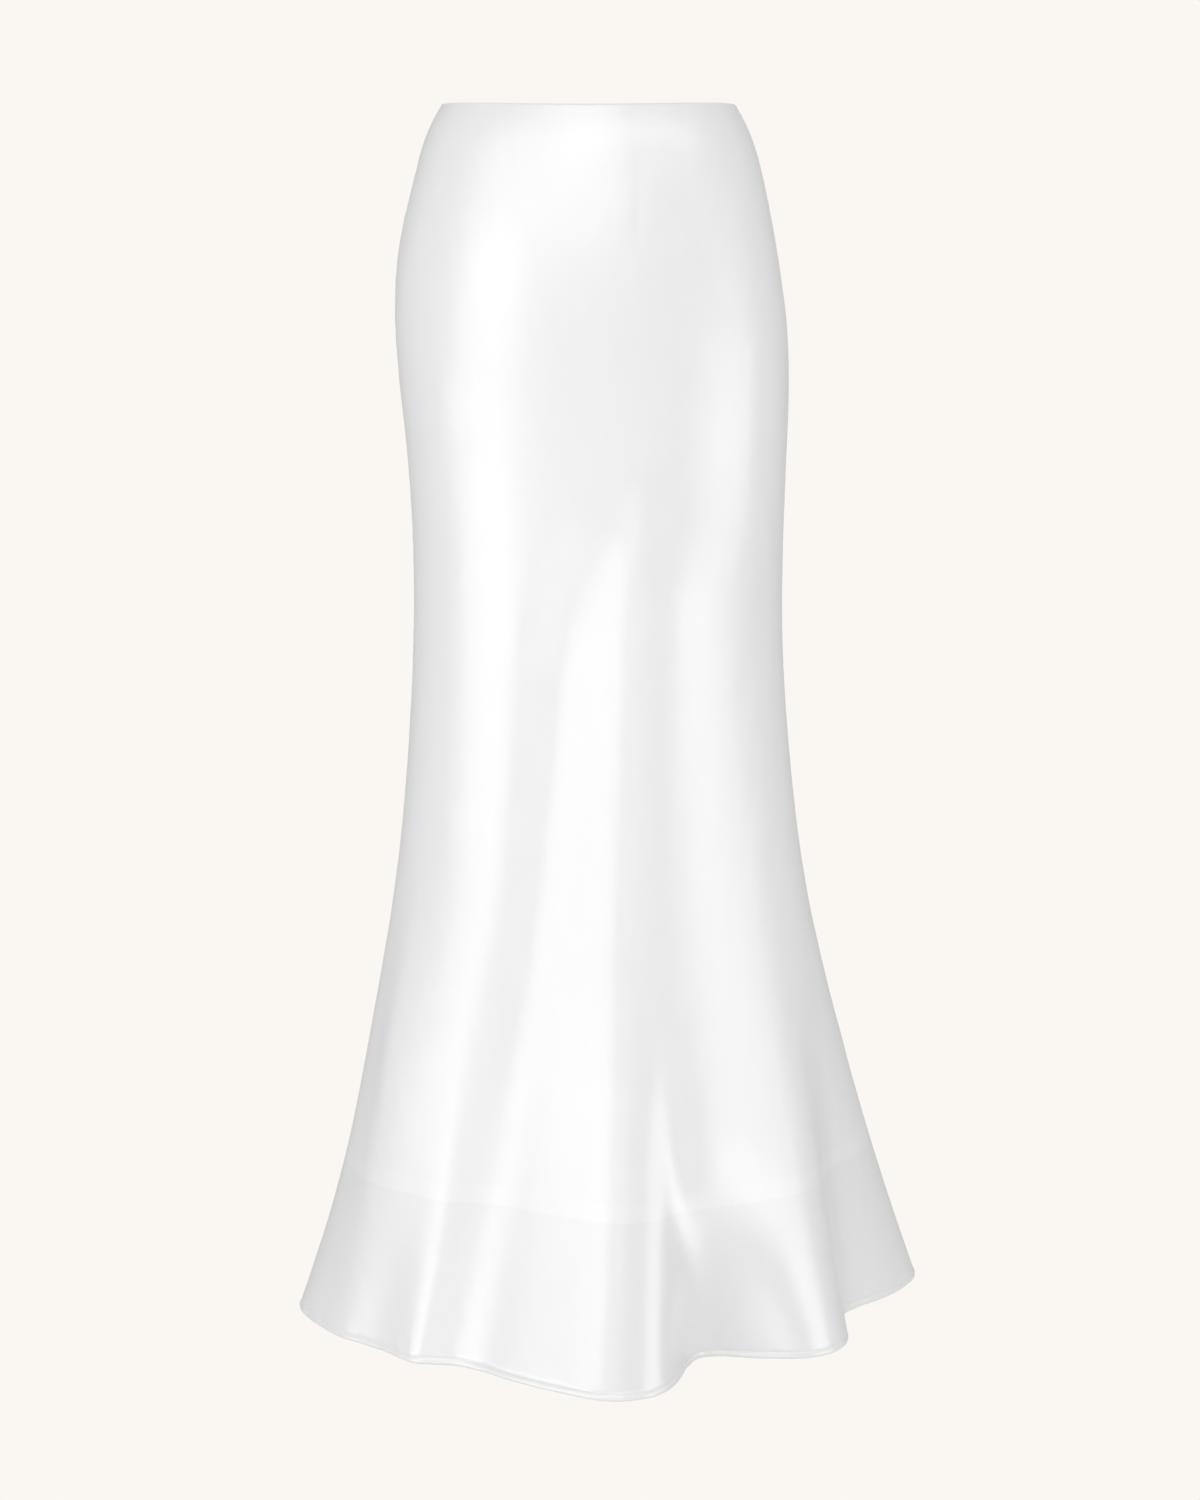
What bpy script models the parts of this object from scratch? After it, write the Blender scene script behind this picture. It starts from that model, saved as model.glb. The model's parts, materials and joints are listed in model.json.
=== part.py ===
"""Mermaid fishtail skirt: a bias-cut satin shell over a shorter lining, closed by a centre-back zip.

The skirt keeps the filled-out form that it has when worn. The origin is the middle of the waist
opening, +Z is up, the front faces -Y and the wearer's left is +X. All sizes are in metres.
"""

import math
from collections import namedtuple

import bmesh
import bpy
import numpy as np
from mathutils import Matrix, Vector

# Lengths down the skirt, as drops below the waist
LENGTH = 1.053
LINING_LENGTH = 0.917
WAIST_DIP = 0.005           # the waist edge is this much lower at the centre front
WAIST_DIP_REACH = 0.120     # drop at which the dip has faded out

# Cloth walls, and the gaps between pieces
SHELL_WALL = 0.0012
LINING_WALL = 0.0010
LINING_INSET = 0.0045       # outer face of the shell to outer face of the lining
GAP = 0.0003

# Mesh density of the cloth
COLUMNS_PER_FOLD = 3
ROWS_TO_LINING_HEM = 16
ROWS_BELOW_LINING = 3

# Centre-back zip
ZIP_ROWS = 4                # the zip spans this many rows of the cloth
ZIP_MOUTH = 0.0030          # width between the shell's edges at the waist, narrowing to GAP a row lower
LINING_ZIP_GAP = 0.0140     # width between the lining's edges along the zip
TAPE_REACH = 0.0120         # centre-back line to the tape's outer edge
TAPE_WALL = 0.0006
TAPE_TOP = 0.004            # drop of the tapes' upper end
COIL_WIDTH = 0.0044
COIL_WALL = 0.0014
COIL_TOP = 0.0160           # drop of the coil's upper end

# Slider and pull, sizes as width (X), depth (outwards) and height
PIN_DROP = 0.0085
PIN_RADIUS = 0.0006
PIN_LENGTH = 0.0050
BODY_SIZE = (0.0044, 0.0022, 0.0090)
NECK_SIZE = (0.0008, 0.0020)            # width and height, its depth reaches from the body to the pin
BARREL_RADIUS = 0.0014
PULL_LENGTH = 0.0240
PULL_TOP_WIDTH = 0.0050
PULL_END_WIDTH = 0.0066
PULL_WALL = 0.0010
PULL_SLOT = (0.0016, 0.0052)            # width and height of the slot that clears the neck

# A ring of the skirt at each drop: half_width along X, depths from centre_x to the front and back
Section = namedtuple("Section", "drop half_width centre_x front_depth back_depth")
SECTIONS = (
    Section(0.000, 0.1240, 0.0000, 0.0920, 0.0980),
    Section(0.015, 0.1325, 0.0000, 0.0965, 0.1040),
    Section(0.060, 0.1480, 0.0000, 0.1040, 0.1170),
    Section(0.120, 0.1612, -0.0008, 0.1105, 0.1310),
    Section(0.200, 0.1683, 0.0028, 0.1140, 0.1380),
    Section(0.285, 0.1645, 0.0066, 0.1130, 0.1320),
    Section(0.370, 0.1608, 0.0078, 0.1110, 0.1230),
    Section(0.460, 0.1614, 0.0078, 0.1110, 0.1190),
    Section(0.560, 0.1680, 0.0085, 0.1160, 0.1240),
    Section(0.680, 0.1820, 0.0100, 0.1290, 0.1400),
    Section(0.800, 0.2045, 0.0135, 0.1500, 0.1650),
    Section(0.920, 0.2290, 0.0180, 0.1810, 0.1990),
    Section(1.053, 0.2620, 0.0200, 0.2180, 0.2350),
)

# Ridges (offset out) and troughs (offset in) of the flared cloth, in order around the skirt.
# Azimuths are in degrees from the centre front towards +X, at the waist and at the hem.
# A fold begins at the drop start, and reaches its offset at the hem with the power growth.
Fold = namedtuple("Fold", "name azimuth_top azimuth_hem start growth offset")
FOLDS = (
    Fold("centre_back_seam", -180, -180, 0.42, 1.7, 0.000),
    Fold("back_right_inner_flute", -163, -163, 0.42, 1.7, 0.028),
    Fold("back_right_trough", -143, -143, 0.44, 1.7, -0.028),
    Fold("back_right_flute", -123, -123, 0.46, 1.8, 0.024),
    Fold("right_side_trough", -105, -106, 0.48, 1.9, -0.020),
    Fold("right_seam", -89, -91, 0.50, 2.4, 0.004),
    Fold("right_side_flute", -73, -75, 0.50, 3.0, 0.020),
    Fold("front_right_shelf", -52, -53, 0.62, 3.0, -0.006),
    Fold("front_right_flute", -31, -39, 0.48, 1.6, 0.003),
    Fold("front_right_trough", -14, -28, 0.42, 1.6, -0.001),
    Fold("centre_flute", 10, -1, 0.60, 1.5, 0.026),
    Fold("centre_flute_flank", 17, 12, 0.80, 1.4, -0.010),
    Fold("centre_trough", 29, 21, 0.86, 1.5, -0.052),
    Fold("front_left_flute", 42, 39, 0.72, 1.6, -0.008),
    Fold("front_left_flute_flank", 54, 55, 0.66, 1.6, -0.013),
    Fold("front_left_trough", 67, 72, 0.68, 1.6, -0.040),
    Fold("left_side_flute", 84, 97, 0.45, 2.8, 0.019),
    Fold("left_seam", 100, 109, 0.46, 1.9, 0.001),
    Fold("left_side_trough", 117, 121, 0.46, 1.8, -0.026),
    Fold("back_left_flute", 138, 141, 0.46, 1.7, 0.026),
    Fold("back_left_trough", 159, 160, 0.42, 1.7, -0.026),
)

# Soft ridges (height out) and troughs (height in) that run down between the main folds, in degrees and
# metres: low_width is towards lower azimuths, high_width towards higher. The height grows from the drop
# start to the drop full.
Crease = namedtuple("Crease", "name azimuth_top azimuth_hem start full height low_width high_width")
CREASES = (
    Crease("centre_flute_ridge", 19, 1, 0.29, 0.41, 0.015, 10, 28),
    Crease("centre_front_trough", -1, -27, 0.34, 0.48, -0.006, 8, 8),
    Crease("front_right_ridge", -60, -58, 0.62, 0.84, 0.011, 10, 20),
    Crease("back_right_ridge", -148, -158, 0.36, 0.54, 0.007, 14, 22),
    Crease("back_left_ridge", 152, 146, 0.40, 0.58, 0.008, 22, 13),
    Crease("back_left_side_ridge", 124, 128, 0.48, 0.66, 0.005, 12, 16),
)

FOLD_NAMES = [fold.name for fold in FOLDS]
RIGHT_SEAM = FOLD_NAMES.index("right_seam")
LEFT_SEAM = FOLD_NAMES.index("left_seam")
CENTRE_BACK = len(FOLDS)    # place 0 again, after one turn around the skirt

WRAP = 6                    # fold rows repeated past each end, so that the spline closes smoothly
STEP = 0.001                # step for differences, in places around and in metres down

SATIN = ("satin", (0.93, 0.93, 0.925), 0.36, 0.0)
LINING = ("lining", (0.90, 0.89, 0.87), 0.60, 0.0)
TAPE = ("zip_tape", (0.90, 0.90, 0.89), 0.70, 0.0)
COIL = ("zip_coil", (0.88, 0.88, 0.87), 0.40, 0.0)
METAL = ("zip_metal", (0.86, 0.86, 0.85), 0.30, 0.4)


# ---------------------------------------------------------------- the skirt's surface

def spline(stations, values, at):
    """Natural cubic spline through the values, a row for each station, read at other stations."""
    stations = np.asarray(stations, float)
    values = np.asarray(values, float)
    count = len(stations)
    width = np.diff(stations)
    system = np.eye(count)
    jumps = np.zeros_like(values)
    slopes = np.diff(values, axis=0) / width[:, None]
    for i in range(1, count - 1):
        system[i, i - 1:i + 2] = width[i - 1], 2 * (width[i - 1] + width[i]), width[i]
        jumps[i] = 6 * (slopes[i] - slopes[i - 1])
    bend = np.linalg.solve(system, jumps)
    at = np.asarray(at, float)
    i = np.clip(np.searchsorted(stations, at) - 1, 0, count - 2)
    run = (at - stations[i])[:, None]
    span = width[i][:, None]
    slope = slopes[i] - span * (2 * bend[i] + bend[i + 1]) / 6
    return values[i] + run * (slope + run * (bend[i] / 2 + run * (bend[i + 1] - bend[i]) / (6 * span)))


def folds_at(places, drop):
    """Azimuth in radians and outward offset at places around the skirt, counted in fold rows."""
    rows = []
    for turn, fold_rows in ((-1, FOLDS[-WRAP:]), (0, FOLDS), (1, FOLDS[:WRAP])):
        for fold in fold_rows:
            azimuth = fold.azimuth_top + (fold.azimuth_hem - fold.azimuth_top) * drop / LENGTH
            grown = max(0.0, (drop - fold.start) / (LENGTH - fold.start)) ** fold.growth
            rows.append((math.radians(azimuth + 360 * turn), fold.offset * grown))
    stations = np.arange(-WRAP, len(FOLDS) + WRAP)
    read = spline(stations, rows, places)
    return read[:, 0], read[:, 1] + crease_offset(np.degrees(read[:, 0]), drop)


def crease_offset(azimuth, drop):
    """Outward offset of the soft ridges and troughs at azimuths in degrees."""
    total = np.zeros(len(azimuth))
    for crease in CREASES:
        path = crease.azimuth_top + (crease.azimuth_hem - crease.azimuth_top) * drop / LENGTH
        away = (azimuth - path + 180) % 360 - 180
        width = np.where(away < 0, crease.low_width, crease.high_width)
        grown = min(1.0, max(0.0, (drop - crease.start) / (crease.full - crease.start)))
        total += crease.height * grown * grown * (3 - 2 * grown) * np.exp(-(away / width) ** 2)
    return total


def ring(places, drop):
    """Points of the shell's outer face at one drop, as an array of X, Y, Z rows."""
    section = spline([s.drop for s in SECTIONS], [s[1:] for s in SECTIONS], [drop])[0]
    half_width, centre_x, front_depth, back_depth = section
    azimuth, offset = folds_at(places, drop)
    sine, cosine = np.sin(azimuth), np.cos(azimuth)
    depth = front_depth * (1 + cosine) / 2 + back_depth * (1 - cosine) / 2
    along_x = half_width * cosine
    along_y = depth * sine + (front_depth - back_depth) / 2 * sine * cosine
    size = np.hypot(along_x, along_y)
    x = centre_x + half_width * sine + offset * along_y / size
    y = -depth * cosine - offset * along_x / size
    fade = max(0.0, 1 - drop / WAIST_DIP_REACH) ** 2
    z = -drop - WAIST_DIP * fade * np.maximum(cosine, 0) ** 2
    return np.stack([x, y, z], axis=1)


def ring_inside(places, drop, inset):
    """The same points, moved into the skirt along the surface's normal."""
    places = np.asarray(places, float)
    around = ring(places + STEP, drop) - ring(places - STEP, drop)
    down = ring(places, drop + STEP) - ring(places, drop)
    outward = np.cross(down, around)
    outward /= np.linalg.norm(outward, axis=1)[:, None]
    return ring(places, drop) - inset * outward


def row_drops():
    """Drops of the shell's rows. The lining uses the first ones, down to its own hem."""
    upper = np.linspace(0, LINING_LENGTH, ROWS_TO_LINING_HEM + 1)
    lower = np.linspace(LINING_LENGTH, LENGTH, ROWS_BELOW_LINING + 1)
    return [float(drop) for drop in (*upper, *lower[1:])]


def trimmed(place, drop, distance):
    """The place that lies the given distance further around the skirt."""
    pair = ring([place - STEP, place + STEP], drop)
    return place + distance * 2 * STEP / np.linalg.norm(pair[1] - pair[0])


def net(first, last, drops, inset=0.0, first_gap=None, last_gap=None):
    """Points of a panel from one seam to the next: [row][column]. Gaps are widths, by row number."""
    columns = (last - first) * COLUMNS_PER_FOLD
    rows = []
    for number, drop in enumerate(drops):
        start = trimmed(first, drop, (first_gap(number) if first_gap else GAP) / 2)
        end = trimmed(last, drop, -(last_gap(number) if last_gap else GAP) / 2)
        places = np.arange(first, last + 1e-9, 1 / COLUMNS_PER_FOLD)
        places[0], places[columns] = start, end
        rows.append(ring_inside(places, drop, inset))
    return np.array(rows)


def shell_back_gap(row):
    return ZIP_MOUTH if row == 0 else GAP


def lining_back_gap(row):
    return LINING_ZIP_GAP if row <= ZIP_ROWS else GAP


# ---------------------------------------------------------------- objects and materials

def make_material(name, colour, roughness, metallic):
    material = bpy.data.materials.get(name)
    if material is None:
        material = bpy.data.materials.new(name)
        material.use_nodes = True
        shader = material.node_tree.nodes["Principled BSDF"]
        shader.inputs["Base Color"].default_value = (*colour, 1)
        shader.inputs["Roughness"].default_value = roughness
        shader.inputs["Metallic"].default_value = metallic
        material.diffuse_color = (*colour, 1)
    return material


def finish_object(obj, name, finish, collection):
    """Names an object, gives it a material of its own and moves it to the part's collection."""
    obj.name = obj.data.name = name
    base, colour, roughness, metallic = finish
    obj.data.materials.clear()
    obj.data.materials.append(make_material(base + "_" + name, colour, roughness, metallic))
    for other in list(obj.users_collection):
        other.objects.unlink(obj)
    collection.objects.link(obj)
    return obj


def cloth(name, points, wall, finish, collection):
    """An open net of points, as [row][column], thickened inwards to a wall of cloth."""
    rows, columns = len(points) - 1, len(points[0]) - 1
    work = bmesh.new()
    bmesh.ops.create_grid(work, x_segments=columns, y_segments=rows, size=1)
    for vertex in work.verts:
        column = round((vertex.co.x + 1) / 2 * columns)
        row = round((1 - vertex.co.y) / 2 * rows)
        vertex.co = Vector(points[row][column])
    mesh = bpy.data.meshes.new(name)
    work.to_mesh(mesh)
    work.free()
    obj = bpy.data.objects.new(name, mesh)
    solidify = obj.modifiers.new("wall", "SOLIDIFY")
    solidify.thickness = wall
    solidify.offset = -1
    solidify.use_even_offset = True
    solidify.use_quality_normals = True
    mesh.shade_smooth()
    return finish_object(obj, name, finish, collection)


def box(name, size, centre, collection):
    bpy.ops.mesh.primitive_cube_add(size=1, location=centre)
    obj = bpy.context.object
    obj.scale = size
    bpy.ops.object.transform_apply(location=False, rotation=False, scale=True)
    obj.name = name
    move_to(obj, collection)
    return obj


def rod(name, radius, length, centre, collection, sides=24):
    """A cylinder along X."""
    bpy.ops.mesh.primitive_cylinder_add(
        vertices=sides, radius=radius, depth=length, location=centre, rotation=(0, math.pi / 2, 0))
    obj = bpy.context.object
    bpy.ops.object.transform_apply(location=False, rotation=True, scale=False)
    obj.name = name
    move_to(obj, collection)
    return obj


def move_to(obj, collection):
    for other in list(obj.users_collection):
        other.objects.unlink(obj)
    collection.objects.link(obj)


def combine(obj, tool, operation, parent):
    """Adds a Boolean with a tool that is only a guide: it isn't part of the skirt."""
    boolean = obj.modifiers.new(tool.name, "BOOLEAN")
    boolean.operation = operation
    boolean.object = tool
    tool.parent = parent
    tool.hide_render = True
    tool.display_type = "WIRE"


# ---------------------------------------------------------------- cloth panels

def make_shell(collection):
    drops = row_drops()
    panels = (
        ("front_panel", RIGHT_SEAM, LEFT_SEAM, None, None),
        ("back_panel_left", LEFT_SEAM, CENTRE_BACK, None, shell_back_gap),
        ("back_panel_right", 0, RIGHT_SEAM, shell_back_gap, None),
    )
    for name, first, last, first_gap, last_gap in panels:
        points = net(first, last, drops, 0.0, first_gap, last_gap)
        cloth(name, points, SHELL_WALL, SATIN, collection)


def make_lining(collection):
    drops = row_drops()[:ROWS_TO_LINING_HEM + 1]
    panels = (
        ("lining_front", RIGHT_SEAM, LEFT_SEAM, None, None),
        ("lining_back_left", LEFT_SEAM, CENTRE_BACK, None, lining_back_gap),
        ("lining_back_right", 0, RIGHT_SEAM, lining_back_gap, None),
    )
    for name, first, last, first_gap, last_gap in panels:
        points = net(first, last, drops, LINING_INSET, first_gap, last_gap)
        cloth(name, points, LINING_WALL, LINING, collection)


# ---------------------------------------------------------------- the zip

def back_facet(row, distance, depth):
    """A point on the flat facets next to the centre-back line, at a row that may be a fraction.

    The distance is along the cloth from the centre-back line, positive towards +X, and the depth
    is into the skirt.
    """
    drops = row_drops()
    side = 1 if distance >= 0 else -1
    neighbour = CENTRE_BACK - 1 / COLUMNS_PER_FOLD if side > 0 else 1 / COLUMNS_PER_FOLD
    lower = min(int(row), len(drops) - 2)
    part = row - lower
    centre = [Vector(ring([0], drops[lower + i])[0]) for i in (0, 1)]
    beside = [Vector(ring([neighbour], drops[lower + i])[0]) for i in (0, 1)]
    start = centre[0].lerp(centre[1], part)
    across = (beside[0].lerp(beside[1], part) - start).normalized()
    down = (centre[1] - centre[0]).normalized()
    inward = across.cross(down) * -side
    return start + across * abs(distance) + inward.normalized() * depth


def row_of(drop):
    return drop / row_drops()[1]


def make_zip_strips(collection):
    bottom = ZIP_ROWS - 0.05
    depth = SHELL_WALL + GAP
    tape_rows = [row_of(TAPE_TOP), *range(1, ZIP_ROWS), bottom]
    inner_edge = COIL_WIDTH / 2 + GAP
    for name, left_edge, right_edge in (
            ("zip_tape_left", TAPE_REACH, inner_edge),
            ("zip_tape_right", -inner_edge, -TAPE_REACH)):
        points = [[back_facet(row, edge, depth) for edge in (left_edge, right_edge)] for row in tape_rows]
        cloth(name, points, TAPE_WALL, TAPE, collection)
    coil_rows = [row_of(COIL_TOP), *range(1, ZIP_ROWS), bottom]
    edges = (COIL_WIDTH / 2, 0, -COIL_WIDTH / 2)
    points = [[back_facet(row, edge, depth) for edge in edges] for row in coil_rows]
    cloth("zip_coil", points, COIL_WALL, COIL, collection)


def make_slider(collection, guides):
    """The slider and its pull, made about the pin's axis and then set on the sloping centre back."""
    seat = back_facet(row_of(PIN_DROP), 0, 0)
    lower = back_facet(1, 0, 0)
    slope = math.atan2(lower.y - seat.y, seat.z - lower.z)
    stand_off = GAP + BARREL_RADIUS
    outward = Vector((0, math.cos(slope), math.sin(slope)))
    placing = Matrix.Translation(seat + outward * stand_off) @ Matrix.Rotation(slope, 4, "X")

    hinge = bpy.data.objects.new("zip_hinge", None)
    hinge.empty_display_size = 0.01
    collection.objects.link(hinge)
    hinge.matrix_world = placing

    body_depth = stand_off + SHELL_WALL + GAP + BODY_SIZE[1] / 2
    slider = box("zip_slider", BODY_SIZE, (0, -body_depth, 0), collection)
    neck_width, neck_height = NECK_SIZE
    neck = box("slider_neck", (neck_width, body_depth, neck_height), (0, -body_depth / 2, 0), guides)
    pin = rod("slider_pin", PIN_RADIUS, PIN_LENGTH, (0, 0, 0), guides)
    combine(slider, neck, "UNION", hinge)
    combine(slider, pin, "UNION", hinge)
    slider.parent = hinge
    finish_object(slider, "zip_slider", METAL, collection)

    pull = pull_plate(collection)
    barrel = rod("pull_barrel", BARREL_RADIUS, PULL_TOP_WIDTH, (0, 0, 0), guides)
    bore = rod("pull_bore", PIN_RADIUS + GAP, PULL_TOP_WIDTH * 2, (0, 0, 0), guides)
    slot_width, slot_height = PULL_SLOT
    slot = box("pull_slot", (slot_width, slot_height, slot_height), (0, 0, 0), guides)
    combine(pull, barrel, "UNION", hinge)
    combine(pull, bore, "DIFFERENCE", hinge)
    combine(pull, slot, "DIFFERENCE", hinge)
    pull.parent = hinge
    finish_object(pull, "zip_pull", METAL, collection)


def pull_plate(collection):
    """The tab: a flat outline that widens towards a round end, lying against the cloth."""
    top, end = PULL_TOP_WIDTH / 2, PULL_END_WIDTH / 2
    outline = [(top, 0), (top * 0.8, -PULL_LENGTH * 0.3)]
    for i in range(9):
        angle = math.pi * i / 8
        outline.append((end * math.cos(angle), -(PULL_LENGTH - end) - end * math.sin(angle)))
    outline += [(-top * 0.8, -PULL_LENGTH * 0.3), (-top, 0)]
    curve = bpy.data.curves.new("zip_pull", "CURVE")
    curve.dimensions = "2D"
    curve.fill_mode = "BOTH"
    curve.extrude = PULL_WALL / 2
    line = curve.splines.new("POLY")
    line.points.add(len(outline) - 1)
    for point, (x, y) in zip(line.points, outline):
        point.co = (x, y, 0, 1)
    line.use_cyclic_u = True
    flat = bpy.data.objects.new("zip_pull", curve)
    collection.objects.link(flat)
    bpy.context.view_layer.update()
    evaluated = flat.evaluated_get(bpy.context.evaluated_depsgraph_get())
    mesh = bpy.data.meshes.new_from_object(evaluated)
    bpy.data.objects.remove(flat)
    work = bmesh.new()
    work.from_mesh(mesh)
    bmesh.ops.remove_doubles(work, verts=work.verts, dist=1e-6)
    bmesh.ops.transform(work, matrix=Matrix.Rotation(math.pi / 2, 4, "X"), verts=work.verts)
    bmesh.ops.translate(work, vec=(0, PULL_WALL / 2 - BARREL_RADIUS, 0), verts=work.verts)
    bmesh.ops.recalc_face_normals(work, faces=work.faces)
    work.to_mesh(mesh)
    work.free()
    obj = bpy.data.objects.new("zip_pull", mesh)
    collection.objects.link(obj)
    return obj


def main():
    for obj in list(bpy.data.objects):
        bpy.data.objects.remove(obj, do_unlink=True)
    skirt = bpy.data.collections.new("mermaid_fishtail_skirt")
    guides = bpy.data.collections.new("guides")
    bpy.context.scene.collection.children.link(skirt)
    bpy.context.scene.collection.children.link(guides)
    make_shell(skirt)
    make_lining(skirt)
    make_zip_strips(skirt)
    make_slider(skirt, guides)


main()
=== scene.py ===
"""Looks of the mermaid fishtail skirt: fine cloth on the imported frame, zip, light and camera.

The frame's own convention is kept: metres, origin in the middle of the waist opening, +Z up, the
front faces -Y and the wearer's left is +X.
"""

import functools
import json
import math
from collections import namedtuple

import bmesh
import bpy
import numpy as np
from mathutils import Matrix, Vector


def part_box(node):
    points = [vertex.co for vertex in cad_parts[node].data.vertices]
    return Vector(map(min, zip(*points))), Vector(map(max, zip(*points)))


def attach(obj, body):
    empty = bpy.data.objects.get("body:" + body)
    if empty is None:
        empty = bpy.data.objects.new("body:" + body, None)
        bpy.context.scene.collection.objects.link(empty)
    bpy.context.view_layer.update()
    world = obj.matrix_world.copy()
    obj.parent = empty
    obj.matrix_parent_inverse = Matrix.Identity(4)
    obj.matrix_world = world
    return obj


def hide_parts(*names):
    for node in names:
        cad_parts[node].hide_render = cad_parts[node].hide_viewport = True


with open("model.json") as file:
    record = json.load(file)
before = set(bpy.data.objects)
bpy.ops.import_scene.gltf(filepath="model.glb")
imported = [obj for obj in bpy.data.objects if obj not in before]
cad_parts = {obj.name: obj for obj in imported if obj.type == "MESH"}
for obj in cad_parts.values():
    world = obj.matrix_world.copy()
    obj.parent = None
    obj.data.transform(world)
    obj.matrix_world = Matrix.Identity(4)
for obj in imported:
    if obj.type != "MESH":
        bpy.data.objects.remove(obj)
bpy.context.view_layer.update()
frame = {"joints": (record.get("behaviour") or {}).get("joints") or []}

MM = 0.001
LENGTH = -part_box("front_panel")[0].z                  # drop of the hem below the waist
LINING_LENGTH = -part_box("lining_front")[0].z          # drop of the lining's hem
LINING_INSET = 4.5 * MM                               # shell's face to the lining's face
WAIST_DIP = 0.005                                     # the waist edge is lower at the centre front
WAIST_DIP_REACH = 0.120                               # drop at which the dip has gone
SEAM_GAP = 0.3 * MM                                   # between the turned edges of two panels
SHELL_THICKNESS = 0.45 * MM
LINING_THICKNESS = 0.25 * MM
TAPE_THICKNESS = 0.4 * MM

# ---------------------------------------------------------------- the skirt's form

# A ring of the skirt at each drop: half_width along X from centre_x, and depths from the axis to
# the front and back
Section = namedtuple("Section", "drop half_width centre_x front_depth back_depth")
SECTIONS = (
    Section(0.000, 0.1240, 0.0000, 0.0920, 0.0980),
    Section(0.015, 0.1325, 0.0000, 0.0965, 0.1040),
    Section(0.060, 0.1480, 0.0000, 0.1040, 0.1170),
    Section(0.120, 0.1612, -0.0008, 0.1105, 0.1310),
    Section(0.200, 0.1683, 0.0028, 0.1140, 0.1380),
    Section(0.285, 0.1645, 0.0066, 0.1130, 0.1320),
    Section(0.370, 0.1608, 0.0078, 0.1110, 0.1230),
    Section(0.460, 0.1614, 0.0078, 0.1110, 0.1190),
    Section(0.560, 0.1680, 0.0085, 0.1160, 0.1240),
    Section(0.680, 0.1820, 0.0100, 0.1290, 0.1400),
    Section(0.800, 0.2045, 0.0135, 0.1500, 0.1650),
    Section(0.920, 0.2290, 0.0180, 0.1810, 0.1990),
    Section(1.053, 0.2620, 0.0200, 0.2180, 0.2350),
)

# Ridges (offset out) and troughs (offset in) of the flared cloth, in order around the skirt.
# Azimuths are in degrees from the centre front towards +X, at the waist and at the hem.
# A fold begins at the drop start, and reaches its offset at the hem with the power growth.
Fold = namedtuple("Fold", "name azimuth_top azimuth_hem start growth offset")
FOLDS = (
    Fold("centre_back_seam", -180, -180, 0.42, 1.7, 0.000),
    Fold("back_right_inner_flute", -163, -163, 0.42, 1.7, 0.028),
    Fold("back_right_trough", -143, -143, 0.44, 1.7, -0.028),
    Fold("back_right_flute", -123, -123, 0.46, 1.8, 0.024),
    Fold("right_side_trough", -105, -106, 0.48, 1.9, -0.020),
    Fold("right_seam", -89, -91, 0.50, 2.4, 0.004),
    Fold("right_side_flute", -73, -75, 0.50, 3.0, 0.020),
    Fold("front_right_shelf", -52, -53, 0.62, 3.0, -0.006),
    Fold("front_right_flute", -31, -39, 0.48, 1.6, 0.003),
    Fold("front_right_trough", -14, -28, 0.42, 1.6, -0.001),
    Fold("centre_flute", 10, -1, 0.72, 1.3, 0.026),
    Fold("centre_flute_flank", 17, 12, 0.80, 1.4, -0.010),
    Fold("centre_trough", 29, 21, 0.86, 1.5, -0.052),
    Fold("front_left_flute", 42, 39, 0.72, 1.6, -0.008),
    Fold("front_left_flute_flank", 54, 55, 0.66, 1.6, -0.013),
    Fold("front_left_trough", 67, 72, 0.68, 1.6, -0.040),
    Fold("left_side_flute", 84, 97, 0.45, 2.8, 0.019),
    Fold("left_seam", 100, 109, 0.46, 1.9, 0.001),
    Fold("left_side_trough", 117, 121, 0.46, 1.8, -0.026),
    Fold("back_left_flute", 138, 141, 0.46, 1.7, 0.026),
    Fold("back_left_trough", 159, 160, 0.42, 1.7, -0.026),
)
FOLD_NAMES = [fold.name for fold in FOLDS]

# Soft ridges (height out) and troughs (height in) that run down between the main folds, in degrees
# and metres: low_width is towards lower azimuths, high_width towards higher. The height grows from
# the drop start to the drop full.
Crease = namedtuple("Crease", "name azimuth_top azimuth_hem start full height low_width high_width")
CREASES = (
    Crease("centre_flute_ridge", 19, 1, 0.29, 0.41, 0.015, 10, 28),
    Crease("centre_front_trough", -1, -27, 0.34, 0.48, -0.006, 8, 8),
    Crease("front_right_ridge", -60, -58, 0.62, 0.84, 0.011, 10, 20),
    Crease("back_right_ridge", -148, -158, 0.36, 0.54, 0.007, 14, 22),
    Crease("back_left_ridge", 152, 146, 0.40, 0.58, 0.008, 22, 13),
    Crease("back_left_side_ridge", 124, 128, 0.48, 0.66, 0.005, 12, 16),
)
# Places around the skirt are counted in fold rows, from 0 at the centre back round to CENTRE_BACK
RIGHT_SEAM = FOLD_NAMES.index("right_seam")
LEFT_SEAM = FOLD_NAMES.index("left_seam")
CENTRE_BACK = len(FOLDS)
SPANS = {
    "front": (RIGHT_SEAM, LEFT_SEAM),
    "back_left": (LEFT_SEAM, CENTRE_BACK),
    "back_right": (0, RIGHT_SEAM),
}
WRAP = 6                    # fold rows repeated past each end, so that the spline closes smoothly
STEP = 0.001                # step for differences, in places around and in metres down


@functools.lru_cache(maxsize=None)
def spline_solver(stations):
    """The matrix that turns a natural cubic spline's changes of slope into its bends."""
    width = np.diff(stations)
    system = np.eye(len(stations))
    for i in range(1, len(stations) - 1):
        system[i, i - 1:i + 2] = width[i - 1], 2 * (width[i - 1] + width[i]), width[i]
    return np.linalg.inv(system)


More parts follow.
